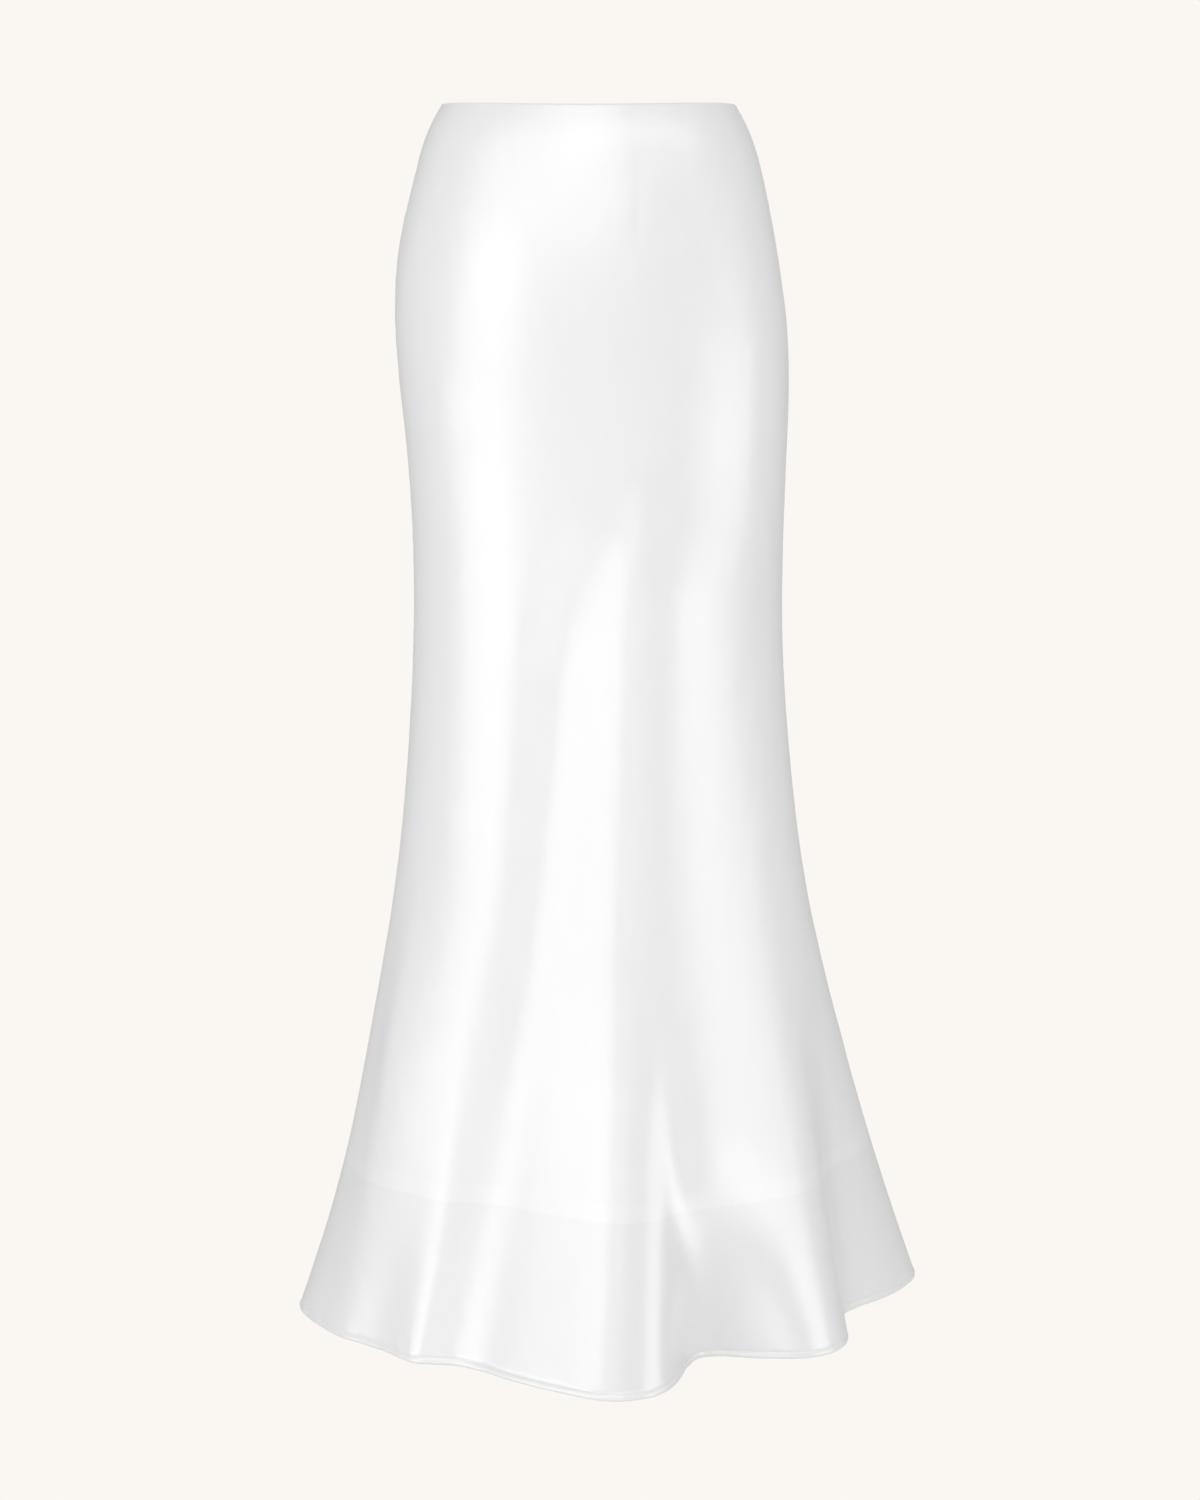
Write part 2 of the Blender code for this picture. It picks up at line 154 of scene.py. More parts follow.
def spline(stations, values, at):
    """Natural cubic spline through the values, a row for each station, read at other stations."""
    solver = spline_solver(tuple(stations))
    stations = np.asarray(stations, float)
    values = np.asarray(values, float)
    count = len(stations)
    width = np.diff(stations)
    slopes = np.diff(values, axis=0) / width[:, None]
    jumps = np.zeros_like(values)
    jumps[1:-1] = 6 * np.diff(slopes, axis=0)
    bend = solver @ jumps
    at = np.asarray(at, float)
    i = np.clip(np.searchsorted(stations, at) - 1, 0, count - 2)
    run = (at - stations[i])[:, None]
    span = width[i][:, None]
    slope = slopes[i] - span * (2 * bend[i] + bend[i + 1]) / 6
    curve = bend[i] / 2 + run * (bend[i + 1] - bend[i]) / (6 * span)
    return values[i] + run * (slope + run * curve)


def folds_at(places, drop):
    """Azimuth in radians and outward offset at places around the skirt, counted in fold rows."""
    rows = []
    for turn, fold_rows in ((-1, FOLDS[-WRAP:]), (0, FOLDS), (1, FOLDS[:WRAP])):
        for fold in fold_rows:
            azimuth = fold.azimuth_top + (fold.azimuth_hem - fold.azimuth_top) * drop / LENGTH
            grown = max(0.0, (drop - fold.start) / (LENGTH - fold.start)) ** fold.growth
            rows.append((math.radians(azimuth + 360 * turn), fold.offset * grown))
    stations = np.arange(-WRAP, len(FOLDS) + WRAP)
    read = spline(stations, rows, places)
    return read[:, 0], read[:, 1] + crease_offset(np.degrees(read[:, 0]), drop)


def crease_offset(azimuth, drop):
    """Outward offset of the soft ridges and troughs at azimuths in degrees."""
    total = np.zeros(len(azimuth))
    for crease in CREASES:
        path = crease.azimuth_top + (crease.azimuth_hem - crease.azimuth_top) * drop / LENGTH
        away = (azimuth - path + 180) % 360 - 180
        width = np.where(away < 0, crease.low_width, crease.high_width)
        grown = min(1.0, max(0.0, (drop - crease.start) / (crease.full - crease.start)))
        total += crease.height * grown * grown * (3 - 2 * grown) * np.exp(-(away / width) ** 2)
    return total


def ring(places, drop):
    """Points of the shell's outer face at one drop, as an array of X, Y, Z rows."""
    section = spline([s.drop for s in SECTIONS], [s[1:] for s in SECTIONS], [drop])[0]
    half_width, centre_x, front_depth, back_depth = section
    azimuth, offset = folds_at(places, drop)
    sine, cosine = np.sin(azimuth), np.cos(azimuth)
    depth = front_depth * (1 + cosine) / 2 + back_depth * (1 - cosine) / 2
    along_x = half_width * cosine
    along_y = depth * sine + (front_depth - back_depth) / 2 * sine * cosine
    size = np.hypot(along_x, along_y)
    x = centre_x + half_width * sine + offset * along_y / size
    y = -depth * cosine - offset * along_x / size
    fade = max(0.0, 1 - drop / WAIST_DIP_REACH) ** 2
    z = -drop - WAIST_DIP * fade * np.maximum(cosine, 0) ** 2
    return np.stack([x, y, z], axis=1)


def ring_inside(places, drop, inset):
    """The same points, moved into the skirt along the surface's normal."""
    places = np.asarray(places, float)
    around = ring(places + STEP, drop) - ring(places - STEP, drop)
    down = ring(places, drop + STEP) - ring(places, drop)
    outward = np.cross(down, around)
    outward /= np.linalg.norm(outward, axis=1)[:, None]
    return ring(places, drop) - np.reshape(inset, (-1, 1)) * outward


def places_per_metre(place, drop):
    """How many fold rows a metre of cloth spans at a place."""
    pair = ring([place - STEP, place + STEP], drop)
    return 2 * STEP / np.linalg.norm(pair[1] - pair[0])


# ---------------------------------------------------------------- small relief of the cloth

# Cloth per fold row, for the spacing of puckers and dents
WAIST_RUN = 0.033
HEM_RUN = 0.083
LINING_HEM_RUN = 0.07
DENT_RUN = 0.05
SHELL_DENT = 0.35 * MM
LINING_DENT = 0.5 * MM

# A row of puckers: depth, how far it reaches each side of its middle, and the crests' spacing
Puckers = namedtuple("Puckers", "depth reach pitch")
HEM_PUCKERS = Puckers(0.42 * MM, 11 * MM, 0.023)
WAIST_PUCKERS = Puckers(0.10 * MM, 8 * MM, 0.011)
SEAM_PUCKERS = Puckers(0.22 * MM, 8 * MM, 0.017)
HEM_WAVE = Puckers(0.5 * MM, 8 * MM, 0.041)           # the hem's edge rises this much at most
LINING_HEM_PUCKERS = Puckers(0.35 * MM, 14 * MM, 0.026)
LINING_SEAM_PUCKERS = Puckers(0.25 * MM, 9 * MM, 0.015)


def ripple(run, pitch, seed):
    """An uneven wave between -1 and 1 along a run in metres, with crests about a pitch apart."""
    turn = 2 * math.pi / pitch
    return (0.5 * np.sin(turn * run + seed) + 0.3 * np.sin(0.63 * turn * run + 2.1 * seed)
            + 0.2 * np.sin(1.71 * turn * run + 3.7 * seed))


def bell(away, reach):
    return np.exp(-(away / reach) ** 2)


def puckered(puckers, away, run, seed):
    """Depth of puckers at distances away from their middle and along it."""
    return puckers.depth * bell(away, puckers.reach) * ripple(run, puckers.pitch, seed)


def add_seam_puckers(depth, puckers, places, drop, seeds):
    """The depth with puckers along the right, left and centre-back seams, a seed for each."""
    right, left, back = seeds
    for seam, seed in ((RIGHT_SEAM, right), (LEFT_SEAM, left), (0, back), (CENTRE_BACK, back)):
        away = (places - seam) / places_per_metre(seam, drop)
        depth = depth + puckered(puckers, away, drop, seed)
    return depth


def shell_relief(places, drop):
    """Depth of the puckers along the seams, waist and hem, and of soft dents, in metres."""
    height = LENGTH - drop
    depth = puckered(HEM_PUCKERS, height - 3 * MM, places * HEM_RUN + 0.7 * height, 1.3)
    depth = depth + puckered(WAIST_PUCKERS, drop - 8 * MM, places * WAIST_RUN + 0.4 * drop, 0.4)
    depth = add_seam_puckers(depth, SEAM_PUCKERS, places, drop, (0.7, 2.9, 4.1))
    run = places * DENT_RUN
    along_bias = ripple(run + drop, 0.12, 5.2) * ripple(run - 0.9 * drop, 0.15, 1.9)
    return depth + SHELL_DENT * along_bias


def lining_relief(places, drop):
    """The same for the lining, which has no puckers at the waist."""
    height = LINING_LENGTH - drop
    run = places * LINING_HEM_RUN + 0.5 * height
    depth = puckered(LINING_HEM_PUCKERS, height - 6 * MM, run, 2.2)
    depth = add_seam_puckers(depth, LINING_SEAM_PUCKERS, places, drop, (1.7, 0.9, 3.1))
    return depth + LINING_DENT * ripple(places * DENT_RUN + 0.8 * drop, 0.13, 0.6)


def shell_row(places, drop, depth):
    """Points of the shell at one drop, at depths inside its smooth face, with its small relief."""
    places = np.asarray(places, float)
    points = ring_inside(places, drop, depth + shell_relief(places, drop))
    wave = 1 + ripple(places * HEM_RUN, HEM_WAVE.pitch, 2.6)
    points[:, 2] += HEM_WAVE.depth * bell(LENGTH - drop, HEM_WAVE.reach) * wave / 2
    return points


def lining_row(places, drop, depth):
    places = np.asarray(places, float)
    return ring_inside(places, drop, depth + lining_relief(places, drop))


# ---------------------------------------------------------------- cloth meshes

SHELL_COLUMNS = 16          # per fold row
SHELL_ROWS = 186            # down the plain cloth, between the waist's turn and the hem's
LINING_COLUMNS = 9
LINING_ROWS = 90

# Cloth turns in at a seam: distance from the seam and depth of the face there, in millimetres
SEAM_TURN = ((0.0, 3.2), (0.0, 1.4), (0.15, 0.65), (0.45, 0.22), (1.0, 0.05), (2.2, 0.0))
ZIP_TURN = ((0.0, 1.0), (0.0, 0.7), (0.12, 0.38), (0.4, 0.12), (1.0, 0.02), (2.2, 0.0))
LINING_TURN = ((0.0, 1.3), (0.0, 0.8), (0.15, 0.4), (0.45, 0.15), (1.0, 0.03), (2.2, 0.0))
TURN_AT_WAIST = 0.3         # the turn's depth at the waist, as a share of its full depth
TURN_FULL = 12 * MM         # drop from which the turn is full
# The waist edge, from its inside over the top to the outside: drop and depth in millimetres
WAIST_TURN = (
    (9.0, 1.9), (5.0, 1.9), (2.0, 1.8), (0.7, 1.5), (0.1, 1.0), (0.15, 0.45), (0.7, 0.1),
    (1.8, 0.0), (3.6, -0.02), (5.4, 0.0), (6.4, 0.04), (7.0, 0.06), (7.7, 0.05), (9.0, 0.02),
    (11.0, 0.0),
)
# The narrow hem, from the cloth above it round the edge and up inside: height above the edge and
# depth in millimetres
HEM_TURN = (
    (14.0, 0.0), (10.0, 0.0), (8.0, 0.02), (6.9, 0.12), (6.2, 0.34), (5.7, 0.42), (5.2, 0.28),
    (4.5, -0.05), (3.6, -0.28), (2.6, -0.4), (1.6, -0.4), (0.8, -0.22), (0.25, 0.1), (0.0, 0.6),
    (0.2, 1.15), (0.9, 1.55), (2.2, 1.7), (4.0, 1.65), (5.6, 1.35),
)
# The lining's top inside the waist, as drop and depth, and its turned hem, as height above the
# edge and depth behind the lining's face, in millimetres
LINING_TOP_TURN = ((4, 2.6), (7, 2.7), (12, 3.2), (20, 4.1))
LINING_HEM_TURN = (
    (15.5, 0.03), (14.6, 0.2), (14.0, 0.26), (13.4, 0.18), (12, 0.0), (7, -0.06), (2.5, -0.06),
    (0.6, 0.08), (0.0, 0.45), (0.8, 0.95), (4, 1.05), (10, 1.0), (14, 0.7),
)
LINING_PLAIN_FROM = 30 * MM           # drop at which the plain lining begins
LINING_PLAIN_TO = 17 * MM             # its end, above the lining's hem

ZIP_MOUTH = 2.7 * MM                  # how far the shell's edges part at the waist
ZIP_MOUTH_END = 0.022                 # drop at which they meet
LINING_MOUTH = 14 * MM                # between the lining's edges, sewn down each side of the zip
LINING_MOUTH_END = 0.215              # drop at which they begin to close
LINING_MOUTH_FADE = 0.02              # and how far they take to do so


def add_mesh(name, points, uv=None):
    """A smooth mesh through a net of points, as [row][column], facing out."""
    rows, columns = points.shape[0] - 1, points.shape[1] - 1
    index = np.arange((rows + 1) * (columns + 1)).reshape(rows + 1, columns + 1)
    corners = [index[1:, :-1], index[1:, 1:], index[:-1, 1:], index[:-1, :-1]]
    return add_faces(name, points.reshape(-1, 3), np.stack(corners, axis=2).reshape(-1, 4), uv)


def add_faces(name, points, faces, uv=None):
    """A smooth mesh of points and four-sided faces, with cloth coordinates in metres if given."""
    mesh = bpy.data.meshes.new(name)
    mesh.vertices.add(len(points))
    mesh.vertices.foreach_set("co", np.ascontiguousarray(points, dtype=np.float32).reshape(-1))
    mesh.loops.add(faces.size)
    mesh.loops.foreach_set("vertex_index", np.ascontiguousarray(faces, dtype=np.int32).reshape(-1))
    mesh.polygons.add(len(faces))
    mesh.polygons.foreach_set("loop_start", np.arange(0, faces.size, 4, dtype=np.int32))
    mesh.update(calc_edges=True)
    if uv is not None:
        layer = mesh.uv_layers.new(name="cloth")
        corner_uv = uv.reshape(-1, 2)[faces.reshape(-1)]
        layer.data.foreach_set("uv", corner_uv.astype(np.float32).reshape(-1))
    mesh.validate()
    mesh.shade_smooth()
    obj = bpy.data.objects.new(name, mesh)
    bpy.context.scene.collection.objects.link(obj)
    return obj


def thicken(obj, thickness, inside_slot=0):
    solidify = obj.modifiers.new("wall", "SOLIDIFY")
    solidify.thickness = thickness
    solidify.offset = -1
    solidify.use_quality_normals = True
    solidify.use_even_offset = False
    solidify.material_offset = inside_slot


def panel_row(first, last, count, drop, first_gap, last_gap, first_turn, last_turn):
    """Places and depths across one row, with the cloth turned in at both seams."""
    tucked = MM * (TURN_AT_WAIST + (1 - TURN_AT_WAIST) * min(1.0, drop / TURN_FULL))
    at_first, at_last = places_per_metre(first, drop), places_per_metre(last, drop)
    start = [first + (first_gap / 2 + away * MM) * at_first for away, _ in first_turn]
    end = [last - (last_gap / 2 + away * MM) * at_last for away, _ in reversed(last_turn)]
    inner = np.linspace(start[-1], end[0], count + 1)[1:-1]
    start_depths = [depth * tucked for _, depth in first_turn]
    end_depths = [depth * tucked for _, depth in reversed(last_turn)]
    depths = np.concatenate([start_depths, np.zeros(len(inner)), end_depths])
    return np.concatenate([start, inner, end]), depths


def arc_lengths(points):
    steps = np.linalg.norm(np.diff(points, axis=1), axis=2)
    return np.concatenate([np.zeros((len(points), 1)), np.cumsum(steps, axis=1)], axis=1)


def make_panel(name, first, last, stations, row, per_fold, turns, first_gap=None, last_gap=None):
    """A cloth panel. Stations are (drop, depth) pairs, from the waist edge to the hem."""
    rows = []
    for drop, depth in stations:
        gaps = [gap(drop) if gap else SEAM_GAP for gap in (first_gap, last_gap)]
        places, depths = panel_row(first, last, (last - first) * per_fold, drop, *gaps, *turns)
        rows.append(row(places, drop, depths + depth))
    points = np.array(rows)
    across = arc_lengths(points)
    across -= across[:, -1:] / 2
    down = np.broadcast_to(arc_lengths(points.transpose(1, 0, 2)).T[:, :1], across.shape)
    return add_mesh(name, points, np.stack([across, down], axis=2))


def shell_stations():
    top = [(drop * MM, depth * MM) for drop, depth in WAIST_TURN]
    hem = [(LENGTH - height * MM, depth * MM) for height, depth in HEM_TURN]
    middle = [(drop, 0.0) for drop in np.linspace(top[-1][0], hem[0][0], SHELL_ROWS)[1:-1]]
    return top + middle + hem


def lining_stations():
    top = [(drop * MM, depth * MM) for drop, depth in LINING_TOP_TURN]
    plain = np.linspace(LINING_PLAIN_FROM, LINING_LENGTH - LINING_PLAIN_TO, LINING_ROWS)
    hem = [(LINING_LENGTH - height * MM, LINING_INSET + depth * MM)
           for height, depth in LINING_HEM_TURN]
    return top + [(drop, LINING_INSET) for drop in plain] + hem


def zip_mouth(drop):
    """Width between the shell's edges at the centre back: it opens round the slider's neck."""
    return SEAM_GAP + ZIP_MOUTH * max(0.0, 1 - drop / ZIP_MOUTH_END) ** 1.5


def lining_mouth(drop):
    """Width between the lining's edges at the centre back."""
    if drop < LINING_MOUTH_END:
        return LINING_MOUTH
    open_share = max(0.0, 1 - (drop - LINING_MOUTH_END) / LINING_MOUTH_FADE) ** 2
    return SEAM_GAP + (LINING_MOUTH - SEAM_GAP) * open_share


def make_shell():
    kind = (shell_stations(), shell_row, SHELL_COLUMNS)
    front, left, right = (SEAM_TURN, SEAM_TURN), (SEAM_TURN, ZIP_TURN), (ZIP_TURN, SEAM_TURN)
    return [
        make_panel("satin_front", *SPANS["front"], *kind, front),
        make_panel("satin_back_left", *SPANS["back_left"], *kind, left, None, zip_mouth),
        make_panel("satin_back_right", *SPANS["back_right"], *kind, right, zip_mouth, None),
    ]


def make_lining():
    kind = (lining_stations(), lining_row, LINING_COLUMNS, (LINING_TURN, LINING_TURN))
    return [
        make_panel("lining_front_cloth", *SPANS["front"], *kind),
        make_panel("lining_back_left_cloth", *SPANS["back_left"], *kind, None, lining_mouth),
        make_panel("lining_back_right_cloth", *SPANS["back_right"], *kind, lining_mouth, None),
    ]


# ---------------------------------------------------------------- stitches

STITCH_SIDES = 6
# Along a stitch: place from its middle in lengths, and the thread's size and dip in radii
STITCH_SHAPE = (
    (-0.5, 0.35, 1.6), (-0.4, 0.85, 0.7), (-0.18, 1.0, 0.0),
    (0.18, 1.0, 0.0), (0.4, 0.85, 0.7), (0.5, 0.35, 1.6),
)
PATH_STEPS = 60             # points per fold row on a line of stitches

# A line of stitches round the skirt: its row, drop and depth, the side that shows (1 outside, -1
# inside), how many fold rows short of the seams it stops, and the stitches' pitch and size
Stitching = namedtuple("Stitching", "name row drop depth side margin pitch length radius")
HEM_STITCHING = Stitching(
    "hem_stitches_", shell_row, drop=LENGTH - 5.7 * MM, depth=0.38 * MM, side=1, margin=0.02,
    pitch=3.0 * MM, length=2.3 * MM, radius=0.14 * MM)
LINING_HEM_STITCHING = Stitching(
    "lining_hem_stitches_", lining_row, drop=LINING_LENGTH - 14 * MM,
    depth=LINING_INSET + 0.95 * MM, side=-1, margin=0.02,
    pitch=2.8 * MM, length=2.1 * MM, radius=0.12 * MM)
LINING_TOP_STITCHING = LINING_HEM_STITCHING._replace(
    name="lining_top_stitches_", drop=9 * MM, depth=3.2 * MM, margin=0.25)


def read_path(path, run, at):
    return np.stack([np.interp(at, run, path[:, axis]) for axis in range(3)], axis=1)


def unit(vectors):
    return vectors / np.linalg.norm(vectors, axis=-1, keepdims=True)


def add_stitches(name, face, above, pitch, length, radius):
    """Stitches along the path face. The path above lies off the cloth, on the side that is seen."""
    run = np.concatenate([[0], np.cumsum(np.linalg.norm(np.diff(face, axis=0), axis=1))])
    middles = np.arange(pitch, run[-1] - pitch / 2, pitch)
    centre = read_path(face, run, middles)
    after, before = (read_path(face, run, middles + way * length / 2) for way in (1, -1))
    forward = unit(after - before)
    up = read_path(above, run, middles) - centre
    up = unit(up - (up * forward).sum(axis=1, keepdims=True) * forward)
    side = np.cross(forward, up)
    rings = []
    for place, size, dip in STITCH_SHAPE:
        middle = centre + forward * place * length - up * dip * radius
        for k in range(STITCH_SIDES):
            angle = 2 * math.pi * k / STITCH_SIDES
            rings.append(middle + (side * math.cos(angle) + up * math.sin(angle)) * radius * size)
    faces = tube_faces(len(STITCH_SHAPE), STITCH_SIDES, False)
    return add_copies(name, np.stack(rings, axis=1), faces)


def add_copies(name, points, faces):
    """One mesh of separate shapes with the same faces: a row of points for each shape."""
    starts = np.arange(points.shape[0]) * points.shape[1]
    all_faces = (starts[:, None, None] + faces).reshape(-1, 4)
    return add_faces(name, points.reshape(-1, 3), all_faces)


def tube_faces(rings, sides, closed):
    """Faces between rings of points. A closed tube also joins its last ring to its first."""
    faces = []
    for ring_number in range(rings if closed else rings - 1):
        following = (ring_number + 1) % rings
        for k in range(sides):
            beside = (k + 1) % sides
            faces.append((ring_number * sides + k, ring_number * sides + beside,
                          following * sides + beside, following * sides + k))
    return np.array(faces)


def level_stitches(line, name, span):
    """A line of stitches at one drop, from seam to seam of a panel."""
    first, last = span[0] + line.margin, span[1] - line.margin
    places = np.linspace(first, last, int((last - first) * PATH_STEPS) + 1)
    face = line.row(places, line.drop, line.depth)
    above = line.row(places, line.drop, line.depth - line.side * MM)
    return add_stitches(line.name + name, face, above, line.pitch, line.length, line.radius)


# ---------------------------------------------------------------- the zip

ZIP_BOTTOM = 0.213
TAPE_TOP = 4 * MM
TAPE_DEPTH = 1.55 * MM
TAPE_ROWS = 130
TAPE_WAVE = 0.08 * MM
# Across a tape: distance from the centre back and depth behind TAPE_DEPTH, in millimetres
TAPE_PROFILE = (
    (2.45, 0.10), (2.6, 0.0), (3.2, 0.0), (4.4, 0.02), (7.0, 0.0), (9.6, 0.0), (11.0, -0.02),
    (11.4, -0.12), (11.7, -0.14), (11.95, -0.02), (12.0, 0.1),
)
COIL_TOP = 0.016
COIL_PITCH = 1.3 * MM
COIL_SIDES = 6
COIL_POINTS = 14
COIL_OFFSET = 1.0 * MM                # middle of a loop from the centre back
COIL_DEPTH = 2.25 * MM                # and from the shell's face
COIL_LOOP = (1.12 * MM, 0.46 * MM)    # half width and half thickness of a loop
COIL_LEAN = 0.22 * MM
COIL_FLAT_SIDE = 0.75                 # a loop is thinner on its outer side
COIL_THREAD = 0.3 * MM                # radius
NEARBY = 0.5 * MM                     # how far off a point is read for a direction
ZIP_ROW = LINING_LENGTH / 16          # the frame's facets at the centre back are this long


def zip_row(distances, drop, depth):
    """Points near the centre back, at distances in metres towards the wearer's right."""
    distances = np.asarray(distances, float)
    return ring_inside(distances * places_per_metre(0, drop), drop, depth)


def make_tape(name, side):
    """A woven tape: its outer edge is a thicker selvedge, and its inner edge rolls by the coil."""
    profile = TAPE_PROFILE[::side]
    rows = []
    for drop in np.linspace(TAPE_TOP, ZIP_BOTTOM, TAPE_ROWS):
        wave = TAPE_WAVE * ripple(np.array([drop]), 0.019, 1.1 + side)[0]
        distances = np.array([side * distance * MM for distance, _ in profile])
        depths = np.array([TAPE_DEPTH + depth * MM for _, depth in profile]) + wave
        rows.append(zip_row(distances[::-1], drop, depths[::-1]))
    points = np.array(rows)
    across = arc_lengths(points)
    down = arc_lengths(points.transpose(1, 0, 2)).T
    return add_mesh(name, points, np.stack([across, down], axis=2))


def coil_loop(side, drop):
    """One nylon loop, as rings of points round its thread."""
    turn = np.linspace(0, 2 * math.pi, COIL_POINTS, endpoint=False)
    around = np.linspace(0, 2 * math.pi, COIL_SIDES, endpoint=False)
    offset = side * COIL_OFFSET
    middle, beside = zip_row([offset, offset + NEARBY], drop, COIL_DEPTH)
    inner = zip_row([offset], drop, COIL_DEPTH + NEARBY)[0]
    across = unit(beside - middle)
    inward = unit(inner - middle)
    down = np.cross(across, inward)
    half_width, half_depth = COIL_LOOP
    ease = np.where(np.cos(turn) * side < 0, 1.0, COIL_FLAT_SIDE)
    core = (middle + np.outer(np.cos(turn), across) * half_width
            + np.outer(np.sin(turn) * ease, inward) * half_depth
            + np.outer(np.sin(turn), down) * COIL_LEAN)
    outward = unit(np.outer(np.cos(turn), across) + np.outer(np.sin(turn), inward))
    round_thread = (outward[:, None] * np.cos(around)[None, :, None]
                    + down * np.sin(around)[None, :, None])
    return (core[:, None] + round_thread * COIL_THREAD).reshape(-1, 3)


def make_coil():
    """Two rows of nylon loops that mesh along the centre back."""
    loops = []
    for side in (-1, 1):
        first = COIL_TOP + (0.5 * COIL_PITCH if side > 0 else 0)
        drops = np.arange(first, ZIP_BOTTOM - COIL_PITCH, COIL_PITCH)
        loops += [coil_loop(side, drop) for drop in drops]
    return add_copies("zip_coil_loops", np.array(loops), tube_faces(COIL_POINTS, COIL_SIDES, True))


# The slider and the pull are laid out in millimetres from the middle of their bar
TURNED_SIDES = 28
CORNER_STEPS = 4
BEVEL_STEPS = 3
SHARP_EDGE = 50             # degrees
ON_MIDDLE = 1e-6            # a point this near the middle line isn't mirrored


def add_plate(work, outline, near, far, bevel):
    """A flat shape with rounded edges: X and Z points in order, from near to far along Y."""
    low = [work.verts.new((x * MM, near * MM, z * MM)) for x, z in outline]
    high = [work.verts.new((x * MM, far * MM, z * MM)) for x, z in outline]
    caps = [work.faces.new(low), work.faces.new(high[::-1])]
    for i in range(len(outline)):
        j = (i + 1) % len(outline)
        work.faces.new((low[j], low[i], high[i], high[j]))
    edges = [edge for cap in caps for edge in cap.edges]
    bmesh.ops.bevel(work, geom=edges, offset=bevel * MM, segments=BEVEL_STEPS, affect="EDGES",
                    profile=0.5, clamp_overlap=True)


def add_turned(work, profile, closed=False):
    """A shape turned about the X axis: rows of X place and radius."""
    rings = []
    angles = [2 * math.pi * k / TURNED_SIDES for k in range(TURNED_SIDES)]
    for x, radius in profile:
        rings.append([work.verts.new((x * MM, radius * MM * math.cos(a), radius * MM * math.sin(a)))
                      for a in angles])
    count = len(rings) if closed else len(rings) - 1
    for i in range(count):
        first, second = rings[i], rings[(i + 1) % len(rings)]
        for k in range(TURNED_SIDES):
            beside = (k + 1) % TURNED_SIDES
            work.faces.new((first[k], first[beside], second[beside], second[k]))
    if not closed:
        work.faces.new(rings[0][::-1])
        work.faces.new(rings[-1])


def finish_metal(work, name, placing):
    bmesh.ops.recalc_face_normals(work, faces=work.faces)
    mesh = bpy.data.meshes.new(name)
    work.to_mesh(mesh)
    work.free()
    mesh.transform(placing)
    mesh.shade_smooth()
    mesh.set_sharp_from_angle(angle=math.radians(SHARP_EDGE))
    obj = bpy.data.objects.new(name, mesh)
    bpy.context.scene.collection.objects.link(obj)
    return obj


def rounded(width, top, bottom, corner):
    """A rounded rectangle's outline as X and Z points."""
    points = []
    right, high, low = width / 2 - corner, top - corner, bottom + corner
    middles = ((right, high), (-right, high), (-right, low), (right, low))
    for (x, z), start in zip(middles, (0, 90, 180, 270)):
        for angle in np.radians(np.linspace(start, start + 90, CORNER_STEPS + 1)):
            points.append((x + corner * math.cos(angle), z + corner * math.sin(angle)))
    return points


def pin_placing():
    """The pin's place and slope: X along the pin, Y out of the skirt, Z up along the cloth."""
    joint = frame["joints"][0]
    upper, lower = ring([0], 0.0)[0], ring([0], ZIP_ROW)[0]
    slope = math.atan2(lower[1] - upper[1], upper[2] - lower[2])
    return Matrix.Translation(Vector(joint["pos_m"])) @ Matrix.Rotation(slope, 4, "X")


def mirrored(half):
    """A closed outline from its right half, which runs from the middle line back to it."""
    return half + [(-x, z) for x, z in half[::-1] if x > ON_MIDDLE]


def round_end(half_width, z, drop, angles):
    """X and Z points of half an elliptic end that hangs down from z."""
    return [(half_width * math.cos(a), z - drop * math.sin(a)) for a in np.radians(angles)]


def make_slider(placing):
    """The slider: two plates inside the seam, joined by a neck, and a post out to the pull's bar."""
    work = bmesh.new()
    half = [(0, 3.7), (0.5, 4.0), (1.2, 4.5), (1.9, 4.0), (2.2, 2.6), (2.2, -1.0), (2.1, -3.6),
            (1.7, -4.5)]
    body = [(-x, z) for x, z in half[:0:-1]] + half
    add_plate(work, body, -5.4, -4.7, 0.25)                            # inner plate
    add_plate(work, body, -3.9, -3.2, 0.25)                            # outer plate
    add_plate(work, rounded(1.6, 4.0, -0.5, 0.5), -4.9, -3.7, 0.1)     # neck
    add_plate(work, rounded(0.8, 1.0, -1.0, 0.3), -3.4, 0.78, 0.12)    # post
    bar = ((2.4, 0.6), (2.55, 0.55), (2.62, 0.35))
    add_turned(work, [(-x, radius) for x, radius in bar[::-1]] + list(bar))
    return finish_metal(work, "slider_metal", placing)


def make_pull(placing):
    """The pull: a waisted tab with a raised middle, on two rings round the slider's bar."""
    work = bmesh.new()
    notch = [(0.0, -2.62), (0.55, -2.55), (0.8, -2.2), (0.8, -0.95)]
    side = [(2.45, -0.95), (2.4, -2.4), (2.05, -4.2), (1.75, -6.5), (1.75, -9.0), (2.05, -12.5),
            (2.6, -16.5), (3.1, -19.5), (3.28, -21.0)]
    end = round_end(3.28, -21.0, 2.95, np.arange(15, 90.1, 15))
    add_plate(work, mirrored(notch + side + end), -0.45, 0.45, 0.16)
    raised = [(0.0, -8.4), (0.8, -9.5), (1.35, -13.5), (1.9, -17.5), (2.25, -20.8)]
    raised += round_end(2.25, -20.8, 1.9, np.arange(20, 90.1, 14))
    add_plate(work, mirrored(raised), 0.35, 0.6, 0.1)
    for low, high in ((0.85, 2.42), (-2.42, -0.85)):
        ear = ((low, 0.95), (low, 1.05), (low + 0.15, 1.2), (high - 0.15, 1.2), (high, 1.05),
               (high, 0.95), (high - 0.1, 0.82), (low + 0.1, 0.82))
        add_turned(work, ear, closed=True)
    return finish_metal(work, "pull_metal", placing)


